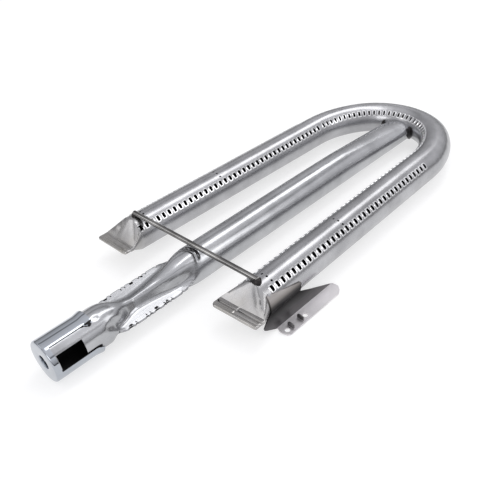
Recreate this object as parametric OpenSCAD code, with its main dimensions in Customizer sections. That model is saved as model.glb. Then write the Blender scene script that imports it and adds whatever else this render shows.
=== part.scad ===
// U-shaped gas burner: a bent tube with port slots, a central mixer tube with a pressed throat,
// a turning air shutter, a brace rod across the legs and a folded igniter bracket.
// Origin: centre of the gas inlet hole on the shutter's front face. +Y runs from the inlet
// towards the bend, +X towards the leg with the bracket, +Z up (the ports face up).

/* [Burner tube] */
// Outside diameter of the bent burner tube
tube_d = 32; // [27:0.1:38.4]
// Wall of the bent burner tube
tube_wall = 1; // [0.8:0.1:1.5]
// Distance between the leg axes where the bend starts
leg_spacing = 134.3; // [112:0.1:161]
// Outward lean of each leg towards its open end, degrees
leg_splay = 1.2; // [0:0.1:2]
// Round length of the right leg, from the bend to its pinched end
leg_length = 250; // [209:0.5:300]
// How much further the left leg reaches than the right one
left_reach = 3.3; // [0:0.1:6]
// Height of the leg axes above the mixer tube's axis
leg_rise = 2.2; // [0:0.1:4]
// Centreline radius of the two shoulders of the bend
shoulder_r = 98; // [88:1:117]
// Turn of each shoulder, degrees
shoulder_turn = 35; // [30:1:40]

/* [Pinched ends] */
// Length over which a leg flattens to its lip
pinch_length = 14; // [11:0.5:18]
// Depth of the flat lip
lip_depth = 10.3; // [8:0.1:13]
// Width of the right leg's lip
right_lip_w = 46; // [38:0.5:50]
// Width of the left leg's lip
left_lip_w = 41.5; // [38:0.5:50]
// Thickness of the flattened lip
lip_t = 2; // [1.8:0.1:3]
// Thickness of the folded hem along the lip's edge
hem_t = 3; // [2.4:0.1:4]
// Depth of the folded hem
hem_depth = 5; // [3:0.1:7]

/* [Ports] */
// Length of a port slot around the tube
port_length = 4.8; // [4:0.1:5.6]
// Width of a port slot along the tube
port_width = 2.8; // [2.2:0.1:3.4]
// Distance from one port to the next on the legs
port_pitch = 6.4; // [5.4:0.1:7]
// Distance from one port to the next along the bend's centreline
bend_port_pitch = 6.95; // [6:0.05:8]
// Distance from the bend's start to the right leg's first inner port
port_row_start = 248.2; // [206.8:0.1:249]
// Angle of the outer rows from the top of the tube, degrees
outer_row_angle = 44; // [36:1:52]
// Angle of the inner rows from the top of the tube, degrees
inner_row_angle = 48.5; // [40:0.5:56]
// Diameter of a crossover hole
crossover_d = 1.9; // [1.2:0.1:2.4]
// Angle between neighbouring crossover holes, degrees
crossover_step = 17.5; // [14:0.5:20]
// Angle of the middle crossover hole from the top, towards +X, degrees
crossover_lean = 9; // [0:1:12]
// Distance from the bend's start to the right leg's front crossover holes
front_crossover = 237.5; // [198:0.5:240]
// Distance from the bend's start to the right leg's middle crossover holes
middle_crossover = 146; // [120:0.5:170]

/* [Mixer tube] */
// Outside diameter of the mixer tube
mixer_d = 32; // [27:0.1:38.4]
// Wall of the mixer tube
mixer_wall = 1; // [0.8:0.1:1.5]
// Distance from the inlet face to the start of the bend
inlet_to_bend = 389.8; // [325:0.1:460]
// Where the mixer tube starts behind the inlet face
mixer_start = 1.6; // [1.5:0.1:3]
// Where the pressed throat starts
throat_start = 47; // [44:0.5:56]
// Length of the funnel in front of the throat
throat_funnel = 27; // [22:1:32]
// Length of the narrowest stretch
throat_neck = 10; // [8:1:14]
// Length over which the throat opens out again
throat_diffuser = 57; // [48:1:60]
// Outside diameter of the narrowest stretch
neck_d = 12; // [10:0.5:16]
// Distance between the outer edges of the two flattened fins
fin_span = 37; // [33.5:0.5:38]
// Thickness of a flattened fin
fin_t = 2.6; // [2.2:0.1:3.2]
// Length of the rear stretch whose top is pressed down, so that it enters the bend below the ports
flat_length = 122; // [102:1:146]
// Fall of that pressed top, degrees
flat_fall = 4; // [2:0.1:4.5]
// Distance from the inlet face to the air windows
window_start = 5.3; // [5:0.1:7]
// Length of the air windows
window_length = 21.1; // [17.6:0.1:25.3]
// Angle that each air window spans, degrees
window_span = 80; // [60:1:90]

/* [Air shutter] */
// Wall of the air shutter
shutter_wall = 0.7; // [0.6:0.1:1]
// Radial gap between the shutter and the mixer tube
shutter_gap = 0.3; // [0.2:0.05:0.5]
// Length of the shutter
shutter_length = 39.5; // [33:0.5:43]
// Depth of the closed ring behind the shutter's face
shutter_ring = 4.6; // [3.8:0.1:5.2]
// Radius of the edge around the shutter's face
shutter_edge_r = 1.6; // [1.2:0.1:2]
// Angle that each notch in the shutter spans, degrees
notch_span = 71.5; // [60:0.5:80]
// Angle from the top to the start of the right notch, towards +X, degrees
notch_start = 23.4; // [15:0.1:30]
// Angle that the ear at a tongue's rear corner adds, degrees
ear_span = 11; // [6:1:14]
// Angle that the smaller ear at a tongue's other rear corner adds, degrees
far_ear_span = 3; // [1:0.5:5]
// Length of the ears
ear_length = 8; // [6:0.5:10]
// Diameter of the gas inlet hole
inlet_d = 11; // [9.2:0.1:13.2]
// Depth of the turned-in rim around the gas inlet hole
inlet_depth = 3; // [2:0.1:4]

/* [Brace rod] */
// Diameter of the brace rod
rod_d = 4.6; // [3.8:0.1:5.5]
// Distance from the bend's start to the rod
rod_from_bend = 246.8; // [205.7:0.1:248]
// How far the rod runs past each leg's axis
rod_overhang = 1.7; // [1:0.1:3]
// Diameter of the weld at each end of the rod
rod_weld_d = 7.6; // [6.4:0.1:9]

/* [Igniter bracket] */
// Thickness of the bracket's sheet
sheet_t = 1.2; // [1:0.1:1.5]
// Gap between the bracket's leaf and the leg that it is welded to
leaf_gap = 0.1; // [0.05:0.05:0.2]
// Length of the curved leaf along the leg
leaf_length = 36; // [30:0.5:43]
// Angle from the top of the leg to the leaf's lower edge, degrees
leaf_end_angle = 112; // [106:1:118]
// Distance from the bend's start to the leaf's front edge
leaf_from_bend = 250.4; // [209:0.1:252]
// Fall of the leaf's slanted upper edge, degrees
leaf_slant = 14; // [8:1:18]
// Height of the sloping plate below the leaf
plate_drop = 14.2; // [12:0.1:16]
// Lean of the plate from upright, degrees
plate_lean = 16; // [12:1:20]
// Width of the flange
flange_w = 12.4; // [10.5:0.1:14.8]
// Length of the flange
flange_length = 70; // [60:0.5:84]
// Distance between the flange's two holes
hole_spacing = 21.2; // [18:0.1:25]
// Diameter of the flange's holes
hole_d = 4.4; // [3.6:0.1:5]
// Width of an upturned tab
tab_w = 6; // [4:0.1:7]
// Height of an upturned tab
tab_h = 4.6; // [3:0.1:6]

/* [Welds] */
// Width of the weld where the mixer tube meets the bend
mixer_weld = 2; // [1.4:0.1:2.6]
// Diameter of the bracket's tack welds
tack_d = 3.2; // [2.6:0.1:4]

/* [Hidden] */
$fn = 96;
eps = 0.01;

tube_r = tube_d / 2;
mixer_r = mixer_d / 2;
half_spacing = leg_spacing / 2;
bend_y = inlet_to_bend;
// Centres and radii of the three arcs of the bend
shoulder_x = half_spacing - shoulder_r * cos(leg_splay);
shoulder_y = bend_y - shoulder_r * sin(leg_splay);
arch_angle = leg_splay + shoulder_turn;
arch_start_x = shoulder_x + shoulder_r * cos(arch_angle);
arch_start_y = shoulder_y + shoulder_r * sin(arch_angle);
arch_r = arch_start_x / cos(arch_angle);
arch_y = arch_start_y - arch_r * sin(arch_angle);
arch_top = arch_y + arch_r;
mixer_end = arch_top - tube_r / 4;
flat_start = mixer_end - flat_length;
// Sleeves at the joints of the bent tube: their length, how far they stand proud, and the gap they close
joint_length = 0.4;
joint_lift = 0.02;
joint_gap = 0.03;
shoulder_length = shoulder_r * shoulder_turn * PI / 180;
arch_half_length = arch_r * (90 - arch_angle) * PI / 180;
leg_ports = floor((port_row_start - port_pitch / 2) / port_pitch) + 1;
outer_ports = leg_ports - 3;
bend_ports = 2 * floor((shoulder_length + arch_half_length) / bend_port_pitch + 0.5);
port_tool = tube_wall * 4;
lip_edge = leg_length + pinch_length + lip_depth;
leaf_r = tube_r + leaf_gap;
leaf_foot_x = (leaf_r + sheet_t / 2) * sin(leaf_end_angle);
leaf_foot_z = (leaf_r + sheet_t / 2) * cos(leaf_end_angle);
bracket_y = bend_y - leaf_from_bend;
bracket_x = half_spacing + leaf_from_bend * sin(leg_splay) + leaf_foot_x;
flange_x = bracket_x + plate_drop * sin(plate_lean);
flange_z = leg_rise + leaf_foot_z - plate_drop * cos(plate_lean);
flange_front = bracket_y + 1.2;
front_hole_y = flange_front + hole_d + 0.6;
hole_x = flange_x + flange_w * 0.6;
shutter_r = mixer_r + shutter_gap + shutter_wall;
rod_y = bend_y - rod_from_bend;
rod_z = leg_rise + tube_r + rod_d / 2;
rod_half = half_spacing + rod_from_bend * tan(leg_splay) + rod_overhang;

// A cylinder from the origin along +Y
module along_y(r, length) {
    rotate([-90, 0, 0]) cylinder(r = r, h = length);
}

// A sector about the Y axis, from angle a (from the top, towards +X), between two radii
module sector_y(a, span, r_in, r_out, y, length) {
    translate([0, y, 0]) rotate([-90, 0, 0]) rotate([0, 0, a - 90])
        rotate_extrude(angle = span) translate([r_in, 0]) square([r_out - r_in, length]);
}

// Places children in a leg's own frame: origin where the bend starts, -Y to the leg's open end
module leg_frame(side) {
    translate([side * half_spacing, bend_y, leg_rise]) rotate([0, 0, side * leg_splay]) children();
}

function leg_reach(side) = side < 0 ? left_reach : 0;

function lip_w(side) = side < 0 ? left_lip_w : right_lip_w;

// One arc of the bend, swept about a vertical axis
module arc_tube(x, y, bend_r, from, sweep, r) {
    translate([x, y, leg_rise]) rotate([0, 0, from])
        rotate_extrude(angle = sweep) translate([bend_r, 0]) circle(r);
}

// The short sleeve that closes a joint between two stretches of the bent tube
module joint(side, angle, r) {
    translate([side * (shoulder_x + shoulder_r * cos(angle)), shoulder_y + shoulder_r * sin(angle), leg_rise])
        rotate([0, 0, side * angle]) translate([0, -joint_length / 2, 0]) along_y(r + joint_lift, joint_length);
}

// The three arcs of the bend, with the sleeves that join them to each other and to the legs
module bend_tube(r) {
    turn = shoulder_turn - 2 * joint_gap;
    arc_tube(shoulder_x, shoulder_y, shoulder_r, leg_splay + joint_gap, turn, r);
    arc_tube(0, arch_y, arch_r, arch_angle + joint_gap, 180 - 2 * (arch_angle + joint_gap), r);
    arc_tube(-shoulder_x, shoulder_y, shoulder_r, 180 - arch_angle + joint_gap, turn, r);
    for (side = [-1, 1]) {
        joint(side, leg_splay, r);
        joint(side, arch_angle, r);
    }
}

// The whole ring that the middle arc of the bend is a part of
module arch_ring(r) {
    translate([0, arch_y, leg_rise]) rotate_extrude() translate([arch_r, 0]) circle(r);
}

// The round stretch of one leg
module leg_tube(side, r) {
    length = leg_length + leg_reach(side);
    leg_frame(side) translate([0, -length, 0]) along_y(r, length - joint_length / 8);
}

// A leg's round stretch carried on past its pinch, to cut what is welded near its end
module leg_clearance(side) {
    length = leg_length + leg_reach(side) + pinch_length;
    leg_frame(side) translate([0, -length, 0]) along_y(tube_r, length);
}

// One leg's flattening end, from the round tube to the lip
module pinch(side, r, t, w) {
    round_end = leg_length + leg_reach(side);
    leg_frame(side) hull() {
        translate([0, -round_end - eps, 0]) rotate([-90, 0, 0]) cylinder(r = r, h = eps, $fn = 64);
        translate([-w / 2, -round_end - pinch_length, -t / 2]) cube([w, eps, t]);
    }
}

// The flat lip with its folded hem
module lip(side) {
    w = lip_w(side);
    leg_frame(side) translate([-w / 2, -lip_edge - leg_reach(side), 0]) {
        translate([0, 0, -lip_t / 2]) cube([w, lip_depth, lip_t]);
        translate([0, 0, -hem_t / 2]) cube([w, hem_depth, hem_t]);
    }
}

// A cutter for one port, at angle a from the top of a tube that runs along Y
module port_cutter(a) {
    rotate([0, a, 0]) translate([-port_length / 2, -port_width / 2, tube_r - port_tool])
        cube([port_length, port_width, port_tool * 2]);
}

// A row of ports on one leg; the first counts from the leg's open end
module leg_row(side, a, first, count) {
    leg_frame(side) for (i = [first : first + count - 1])
        translate([0, -port_row_start - leg_reach(side) + i * port_pitch, 0]) port_cutter(a);
}

// Places children on the bend at a distance s from its middle along the centreline
module on_bend(s) {
    d = abs(s);
    side = s < 0 ? -1 : 1;
    on_arch = d < arch_half_length;
    arch_turn = 90 - d / arch_r * 180 / PI;
    far_turn = arch_angle - (d - arch_half_length) / shoulder_r * 180 / PI;
    turn = on_arch ? arch_turn : far_turn;
    x = on_arch ? 0 : side * shoulder_x;
    y = on_arch ? arch_y : shoulder_y;
    r = on_arch ? arch_r : shoulder_r;
    translate([x + side * r * cos(turn), y + r * sin(turn), leg_rise])
        rotate([0, 0, side > 0 ? turn : 180 - turn]) children();
}

module bend_row() {
    for (i = [0 : bend_ports - 1])
        on_bend((i - (bend_ports - 1) / 2) * bend_port_pitch) port_cutter(-inner_row_angle);
}

// Three crossover holes side by side over the top of a leg
module crossovers(side, from_bend) {
    leg_frame(side) translate([0, -from_bend - leg_reach(side), 0]) for (i = [-1 : 1])
        rotate([0, crossover_lean + i * crossover_step, 0])
            translate([0, 0, tube_r - port_tool]) cylinder(d = crossover_d, h = port_tool * 2);
}

module burner_tube() {
    color("silver") difference() {
        union() {
            bend_tube(tube_r);
            for (side = [-1, 1]) {
                leg_tube(side, tube_r);
                pinch(side, tube_r, lip_t, lip_w(side));
                lip(side);
            }
        }
        bend_tube(tube_r - tube_wall);
        for (side = [-1, 1]) {
            leg_tube(side, tube_r - tube_wall);
            pinch(side, tube_r - tube_wall, lip_t / 10, lip_w(side) - 2 * tube_wall);
            leg_row(side, side * outer_row_angle, 1, outer_ports);
            leg_row(side, -side * inner_row_angle, 0, leg_ports);
            crossovers(side, front_crossover);
            crossovers(side, middle_crossover);
        }
        bend_row();
        translate([0, arch_y, 0]) along_y(mixer_r * 0.75, arch_r);
    }
}

// The mixer tube's body: round, funnel, neck, diffuser and round again
module mixer_body(r, neck_r) {
    neck_start = throat_start + throat_funnel;
    neck_end = neck_start + throat_neck;
    diffuser_end = neck_end + throat_diffuser;
    translate([0, mixer_start, 0]) along_y(r, throat_start - mixer_start);
    translate([0, throat_start, 0]) rotate([-90, 0, 0]) cylinder(r1 = r, r2 = neck_r, h = throat_funnel);
    translate([0, neck_start, 0]) along_y(neck_r, throat_neck);
    translate([0, neck_end, 0]) rotate([-90, 0, 0]) cylinder(r1 = neck_r, r2 = r, h = throat_diffuser);
    difference() {
        translate([0, diffuser_end, 0]) along_y(r, mixer_end - diffuser_end);
        translate([-mixer_d, flat_start, r]) rotate([-flat_fall, 0, 0])
            cube([mixer_d * 2, mixer_end, mixer_d]);
    }
}

// The two fins that the pressed throat leaves on either side
module fins() {
    rear = throat_start + throat_funnel + throat_neck + throat_diffuser;
    half = fin_span / 2;
    shoulder = throat_funnel * 0.4;
    translate([0, 0, -fin_t / 2]) linear_extrude(fin_t) polygon([
        [-mixer_r + 1, throat_start - 1], [-half, throat_start + shoulder], [-half, rear - shoulder],
        [-mixer_r + 1, rear + 1], [mixer_r - 1, rear + 1], [half, rear - shoulder],
        [half, throat_start + shoulder], [mixer_r - 1, throat_start - 1]
    ]);
}

module mixer_tube() {
    color("silver") difference() {
        union() {
            mixer_body(mixer_r, neck_d / 2);
            fins();
        }
        mixer_body(mixer_r - mixer_wall, neck_d / 2 - mixer_wall);
        translate([0, mixer_start - eps, 0]) along_y(mixer_r - mixer_wall, 1);
        for (a = [90, 270])
            sector_y(a - window_span / 2, window_span, mixer_r / 2, mixer_d, window_start, window_length);
        arch_ring(tube_r);
    }
}

// Points of a rounded front edge for turning, from its face to its side or back again
function edge_points(r, edge, y, turns) = [
    for (turn = turns) [r - edge + edge * sin(turn), y + edge - edge * cos(turn)]
];

// The shutter's whole section: face, rounded edge, side wall and the turned-in rim of the inlet
module shutter_section() {
    inner_r = mixer_r + shutter_gap;
    inlet_r = inlet_d / 2;
    polygon(concat(
        [[inlet_r, 0]],
        edge_points(shutter_r, shutter_edge_r, 0, [0 : 15 : 90]),
        [[shutter_r, shutter_length], [inner_r, shutter_length]],
        edge_points(inner_r, shutter_edge_r - shutter_wall, shutter_wall, [90 : -15 : 0]),
        [[inlet_r + shutter_wall, shutter_wall], [inlet_r + shutter_wall, inlet_depth], [inlet_r, inlet_depth]]
    ));
}

module air_shutter() {
    rear = shutter_length - shutter_ring;
    color("gainsboro") difference() {
        rotate([-90, 0, 0]) rotate([0, 0, 45]) rotate_extrude() shutter_section();
        for (a = [notch_start, notch_start + 180]) {
            sector_y(a, notch_span, mixer_r / 2, mixer_d, shutter_ring, rear - ear_length);
            sector_y(a + ear_span, notch_span - ear_span - far_ear_span, mixer_r / 2, mixer_d,
                shutter_length - ear_length - 2, ear_length + 4);
        }
    }
}

module brace_rod() {
    color("gray") translate([-rod_half, rod_y, rod_z]) rotate([0, 90, 0])
        cylinder(d = rod_d, h = rod_half * 2);
}

// The weld at one end of the rod, between the rod and the leg
module rod_weld(side) {
    color("dimgray") difference() {
        translate([side * rod_half, rod_y, rod_z - rod_d * 0.35]) sphere(d = rod_weld_d);
        leg_clearance(side);
        brace_rod();
    }
}

module rod_weld_left() {
    rod_weld(-1);
}

module rod_weld_right() {
    rod_weld(1);
}

// The weld beads on either side of the mixer tube, where it enters the bend
module mixer_weld_beads() {
    color("dimgray") difference() {
        intersection() {
            translate([0, arch_y, 0]) along_y(mixer_r + mixer_weld, arch_r - 1);
            arch_ring(tube_r + mixer_weld);
            translate([-mixer_d, arch_y, -mixer_r * 0.7]) cube([mixer_d * 2, arch_r, mixer_r * 1.1]);
        }
        translate([0, arch_y - 1, 0]) along_y(mixer_r, arch_r + 2);
        arch_ring(tube_r);
    }
}

// The curved leaf that lies on the leg, with a slanted upper edge
module leaf() {
    leg_frame(1) difference() {
        sector_y(45, leaf_end_angle - 45, leaf_r, leaf_r + sheet_t, -leaf_from_bend, leaf_length);
        translate([0, -leaf_from_bend, tube_r * cos(51)]) rotate([-leaf_slant, 0, 0])
            translate([0, -tube_r, 0]) cube([tube_d * 2, leaf_length + tube_d, tube_d]);
    }
}

// The sloping plate below the leaf
module plate() {
    translate([bracket_x, bracket_y, leg_rise + leaf_foot_z]) rotate([0, 90 - plate_lean, 0])
        linear_extrude(sheet_t, center = true) polygon([
            [-0.4, 0], [8, -plate_drop * 0.5], [plate_drop, flange_front - bracket_y + 2],
            [plate_drop, flange_length], [1.2, leaf_length], [-0.4, leaf_length - 1]
        ]);
}

// The flange with its two holes and two upturned tabs
module flange() {
    corner = flange_w * 0.4;
    translate([0, 0, flange_z - sheet_t / 2]) difference() {
        linear_extrude(sheet_t) {
            translate([flange_x + corner, flange_front + corner]) circle(corner);
            translate([flange_x + flange_w - corner, flange_front + corner]) circle(corner);
            polygon([
                [flange_x - sheet_t / 2, flange_front + corner], [flange_x + corner, flange_front],
                [flange_x + flange_w - corner, flange_front],
                [flange_x + flange_w, flange_front + corner],
                [flange_x + flange_w, flange_front + flange_length - corner * 1.6],
                [flange_x + flange_w * 0.76, flange_front + flange_length - corner * 0.8],
                [flange_x - sheet_t / 2, flange_front + flange_length]
            ]);
        }
        for (y = [0, hole_spacing])
            translate([hole_x, front_hole_y + y, -1]) cylinder(d = hole_d, h = sheet_t + 2);
    }
}

module tab(y) {
    translate([hole_x - tab_w / 2, y, flange_z]) cube([tab_w, sheet_t, tab_h]);
}

module igniter_bracket() {
    color("lightgray") {
        leaf();
        plate();
        flange();
        tab(front_hole_y + hole_d / 2 + 0.8);
        tab(front_hole_y + hole_spacing - hole_d / 2 - 0.8 - sheet_t);
    }
}

// Tack welds at the leaf's two ends, on its upper edge
module bracket_tack_welds() {
    color("dimgray") difference() {
        leg_frame(1) {
            translate([0, tack_d * 0.7 - leaf_from_bend, 0]) rotate([0, 54, 0])
                translate([0, 0, tube_r]) sphere(d = tack_d);
            translate([0, leaf_length - leaf_from_bend, 0]) rotate([0, 92, 0])
                translate([0, 0, tube_r]) sphere(d = tack_d);
        }
        leg_clearance(1);
        leaf();
    }
}

burner_tube();
mixer_tube();
air_shutter();
brace_rod();
rod_weld_left();
rod_weld_right();
mixer_weld_beads();
igniter_bracket();
bracket_tack_welds();
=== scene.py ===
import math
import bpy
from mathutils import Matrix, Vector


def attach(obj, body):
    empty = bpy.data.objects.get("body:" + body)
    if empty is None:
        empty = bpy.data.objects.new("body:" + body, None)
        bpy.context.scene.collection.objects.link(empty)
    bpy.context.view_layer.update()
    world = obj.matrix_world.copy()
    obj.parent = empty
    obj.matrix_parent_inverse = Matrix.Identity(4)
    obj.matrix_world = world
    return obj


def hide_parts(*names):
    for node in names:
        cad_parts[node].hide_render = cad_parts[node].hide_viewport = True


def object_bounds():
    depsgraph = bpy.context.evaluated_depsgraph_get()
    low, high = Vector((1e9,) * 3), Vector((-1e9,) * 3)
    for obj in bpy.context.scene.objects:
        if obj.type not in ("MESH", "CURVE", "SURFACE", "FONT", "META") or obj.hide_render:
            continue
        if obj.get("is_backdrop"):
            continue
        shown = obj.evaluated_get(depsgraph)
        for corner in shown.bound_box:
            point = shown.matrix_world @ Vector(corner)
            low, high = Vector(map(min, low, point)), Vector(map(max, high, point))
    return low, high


bl_info = {
    "name": "Bent-tube gas burner",
    "version": (1, 0, 0),
    "blender": (4, 5, 0),
    "location": "3D View > Sidebar > Burner",
    "description": "Builds the burner tube, mixer tube, air shutter, rod, bracket and welds",
    "category": "Add Mesh",
}

import bpy
from bpy.props import FloatProperty, FloatVectorProperty, PointerProperty
from mathutils import Matrix, Vector, kdtree

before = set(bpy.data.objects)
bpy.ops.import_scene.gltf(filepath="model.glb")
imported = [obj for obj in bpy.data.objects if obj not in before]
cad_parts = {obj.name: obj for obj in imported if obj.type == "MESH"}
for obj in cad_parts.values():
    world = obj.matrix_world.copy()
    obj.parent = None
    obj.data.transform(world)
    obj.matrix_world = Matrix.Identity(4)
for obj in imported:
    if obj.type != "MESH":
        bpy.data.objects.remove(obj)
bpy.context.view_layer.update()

MM = 0.001
BURNER = "burner"
SHUTTER = "air_shutter"

# Sizes of the frame that the pieces are built on, in millimetres
TUBE_R = 16.0
HALF_SPACING = 67.15
BEND_Y = 389.8
LEG_RISE = 2.2
SPLAY = math.radians(1.2)
SHOULDER_R = 98.0
SHOULDER_TURN = math.radians(35)
SHOULDER_X = HALF_SPACING - SHOULDER_R * math.cos(SPLAY)
SHOULDER_Y = BEND_Y - SHOULDER_R * math.sin(SPLAY)
ARCH_START = SPLAY + SHOULDER_TURN
ARCH_R = (SHOULDER_X + SHOULDER_R * math.cos(ARCH_START)) / math.cos(ARCH_START)
ARCH_Y = SHOULDER_Y + SHOULDER_R * math.sin(ARCH_START) - ARCH_R * math.sin(ARCH_START)
ARCH_HALF = ARCH_R * (math.pi / 2 - ARCH_START)
BEND_HALF = ARCH_HALF + SHOULDER_R * SHOULDER_TURN
LEG = {1: 250.0, -1: 253.3}
LIP_W = {1: 46.0, -1: 41.5}
PINCH = 14.0
LIP = 10.3
COLUMNS = 70
COLUMN = 2 * math.pi / COLUMNS
OUTER_ROW = math.radians(44)
INNER_ROW = OUTER_ROW - 18 * COLUMN
MIXER_END = ARCH_Y + ARCH_R - TUBE_R / 4
FLAT_START = MIXER_END - 122
FLAT_FALL = math.radians(4)
THROAT_ROLL = math.radians(17)
WINDOW_FRONT = 5.3
WINDOW_REAR = 26.4
SHUTTER_R = 17.0
SHUTTER_REAR = 39.5
NOTCH_START = 23.4
NOTCH_SPAN = 71.5
ROD_Y = 143.0
ROD_Z = 20.5
ROD_HALF = 74.0
CROSSOVER_R = 1.0
CROSSOVER_ANGLE = 9
CROSSOVER_STEP = 17.5
BRACKET_FRONT = 139.4
BRACKET_WEB = 14.2
BRACKET_LEAN = math.radians(16)
FLANGE_W = 12.4
FLANGE_Z = -17.71
FLANGE_HOLE_X = 99.23
FLANGE_HOLE_R = 2.2

# Sense of a turn that follows the tube's path
SPIN_SIGN = -1


# Working with the selection and with edit mode

def object_mode():
    if bpy.context.mode != "OBJECT":
        bpy.ops.object.mode_set(mode="OBJECT")


def take(obj):
    """Makes one object the only selected and active one."""
    object_mode()
    bpy.ops.object.select_all(action="DESELECT")
    obj.select_set(True)
    bpy.context.view_layer.objects.active = obj


def edit(obj, kind="VERT"):
    """Enters edit mode with one object, selecting by corner, edge or face."""
    take(obj)
    bpy.ops.object.mode_set(mode="EDIT")
    bpy.ops.mesh.select_mode(type=kind)


def pick_faces(obj, test):
    """Selects the faces that test(centre, normal) is true for, and enters edit mode."""
    edit(obj, "FACE")
    bpy.ops.mesh.select_all(action="DESELECT")
    object_mode()
    for face in obj.data.polygons:
        face.select = test(face.center, face.normal)
    bpy.ops.object.mode_set(mode="EDIT")


def pick_edges(obj, test):
    """Selects the edges whose two ends test(point) is true for, and enters edit mode."""
    edit(obj, "EDGE")
    bpy.ops.mesh.select_all(action="DESELECT")
    object_mode()
    points = obj.data.vertices
    for edge in obj.data.edges:
        edge.select = all(test(points[i].co) for i in edge.vertices)
    bpy.ops.object.mode_set(mode="EDIT")


def named(name):
    """Names the piece that was just added."""
    obj = bpy.context.view_layer.objects.active
    obj.name = name
    obj.data.name = name
    return obj


def settle(obj):
    """Puts the object at the origin, with its place in its mesh."""
    take(obj)
    bpy.ops.object.transform_apply(location=True, rotation=True, scale=True)


def clean(obj, distance=0.00001):
    """Merges doubled points and turns all faces outwards."""
    edit(obj)
    bpy.ops.mesh.select_all(action="SELECT")
    bpy.ops.mesh.remove_doubles(threshold=distance)
    bpy.ops.mesh.normals_make_consistent(inside=False)
    object_mode()


def modify(obj, kind, **settings):
    take(obj)
    modifier = obj.modifiers.new(kind.title(), kind)
    for key, value in settings.items():
        setattr(modifier, key, value)
    bpy.ops.object.modifier_apply(modifier=modifier.name)


def smooth(obj, angle=35):
    take(obj)
    bpy.ops.object.shade_smooth_by_angle(angle=math.radians(angle))


def join(main, *others):
    take(main)
    for other in others:
        other.select_set(True)
    bpy.ops.object.join()
    return main


def finish_piece(obj, body, material, slot, *nodes):
    """Hands a piece over: its finish, the body that it rides on and the nodes that it stands for."""
    settle(obj)
    if material:
        obj.data.materials.clear()
        obj.data.materials.append(material)
    if nodes:
        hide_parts(*nodes)
    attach(obj, body)


def step(value, low, high):
    """Smooth rise from 0 at low to 1 at high."""
    t = min(1.0, max(0.0, (value - low) / (high - low)))
    return t * t * (3 - 2 * t)


def along(value, points):
    """Straight-line reading of a list of (value, result) pairs."""
    if value <= points[0][0]:
        return points[0][1]
    for (a, p), (b, q) in zip(points, points[1:]):
        if value <= b:
            return p + (q - p) * (value - a) / (b - a)
    return points[-1][1]


# The path of the bent tube: s runs from the right leg, round the bend, to the left leg

def path(s):
    """Centre and outward direction at a distance s from the middle of the bend."""
    side = 1 if s < 0 else -1
    d = abs(s)
    if d > BEND_HALF:
        run = d - BEND_HALF
        centre = Vector((side * (HALF_SPACING + run * math.sin(SPLAY)),
                         BEND_Y - run * math.cos(SPLAY), LEG_RISE))
        turn = SPLAY
    elif d > ARCH_HALF:
        turn = ARCH_START - (d - ARCH_HALF) / SHOULDER_R
        centre = Vector((side * (SHOULDER_X + SHOULDER_R * math.cos(turn)),
                         SHOULDER_Y + SHOULDER_R * math.sin(turn), LEG_RISE))
    else:
        turn = math.pi / 2 - d / ARCH_R
        centre = Vector((side * ARCH_R * math.cos(turn), ARCH_Y + ARCH_R * math.sin(turn), LEG_RISE))
    outward = Vector((side * math.cos(turn), math.sin(turn), 0))
    return centre, outward


def on_tube(s, angle, r=TUBE_R):
    """Point on the tube, or r away from its centre line, and its outward normal."""
    centre, outward = path(s)
    normal = outward * math.sin(angle) + Vector((0, 0, math.cos(angle)))
    return centre + normal * r, normal


def tube_place(point):
    """Distance s along the path and angle from the top, towards the bend's outside, of a point in mm."""
    side = 1 if point.x >= 0 else -1
    x = abs(point.x)
    leg_x = x - HALF_SPACING
    leg_y = point.y - BEND_Y
    local_x = leg_x * math.cos(SPLAY) + leg_y * math.sin(SPLAY)
    local_y = leg_y * math.cos(SPLAY) - leg_x * math.sin(SPLAY)
    if local_y <= 0:
        return -side * (BEND_HALF - local_y), math.atan2(local_x, point.z - LEG_RISE)
    turn = math.atan2(point.y - SHOULDER_Y, x - SHOULDER_X)
    if turn <= ARCH_START:
        out = math.hypot(point.y - SHOULDER_Y, x - SHOULDER_X) - SHOULDER_R
        s = ARCH_HALF + (ARCH_START - turn) * SHOULDER_R
        return -side * s, math.atan2(out, point.z - LEG_RISE)
    turn = math.atan2(point.y - ARCH_Y, x)
    out = math.hypot(point.y - ARCH_Y, x) - ARCH_R
    return -side * (math.pi / 2 - turn) * ARCH_R, math.atan2(out, point.z - LEG_RISE)


def port_places(look):
    """Every port slot: where it is along the path, and its angle from the top."""
    places = []
    for side in (1, -1):
        first = look.port_start + (LEG[side] - LEG[1])
        for i in range(39):
            s = BEND_HALF + first - i * look.port_pitch
            places.append((-side * s, INNER_ROW))
            if 1 <= i <= 36:
                places.append((-side * s, OUTER_ROW))
    count = 2 * int(BEND_HALF / look.bend_pitch + 0.5)
    for i in range(count):
        places.append(((i - (count - 1) / 2) * look.bend_pitch, INNER_ROW))
    return places


def pinch_point(side, run, angle):
    """Where a point of the round tube goes, run mm past the round stretch, in the leg's own frame."""
    t = min(1.0, run / PINCH)
    half = LIP_W[side] / 2 - 0.6
    spread = math.radians(30)
    folded = abs(angle) if abs(angle) <= math.pi / 2 else math.pi - abs(angle)
    top = 1 if abs(angle) <= math.pi / 2 else -1
    sign = 1 if angle >= 0 else -1
    lip_x = half * min(1.0, folded / spread)
    slope = 0.0 if folded < spread else (folded - spread) / (math.pi / 2 - spread)
    lip_z = 0.75 * top * (1 - slope)
    x = (1 - t) * TUBE_R * math.sin(folded) + t * lip_x
    z = (1 - t) * TUBE_R * math.cos(folded) * top + t * lip_z
    return sign * x, z


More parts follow.
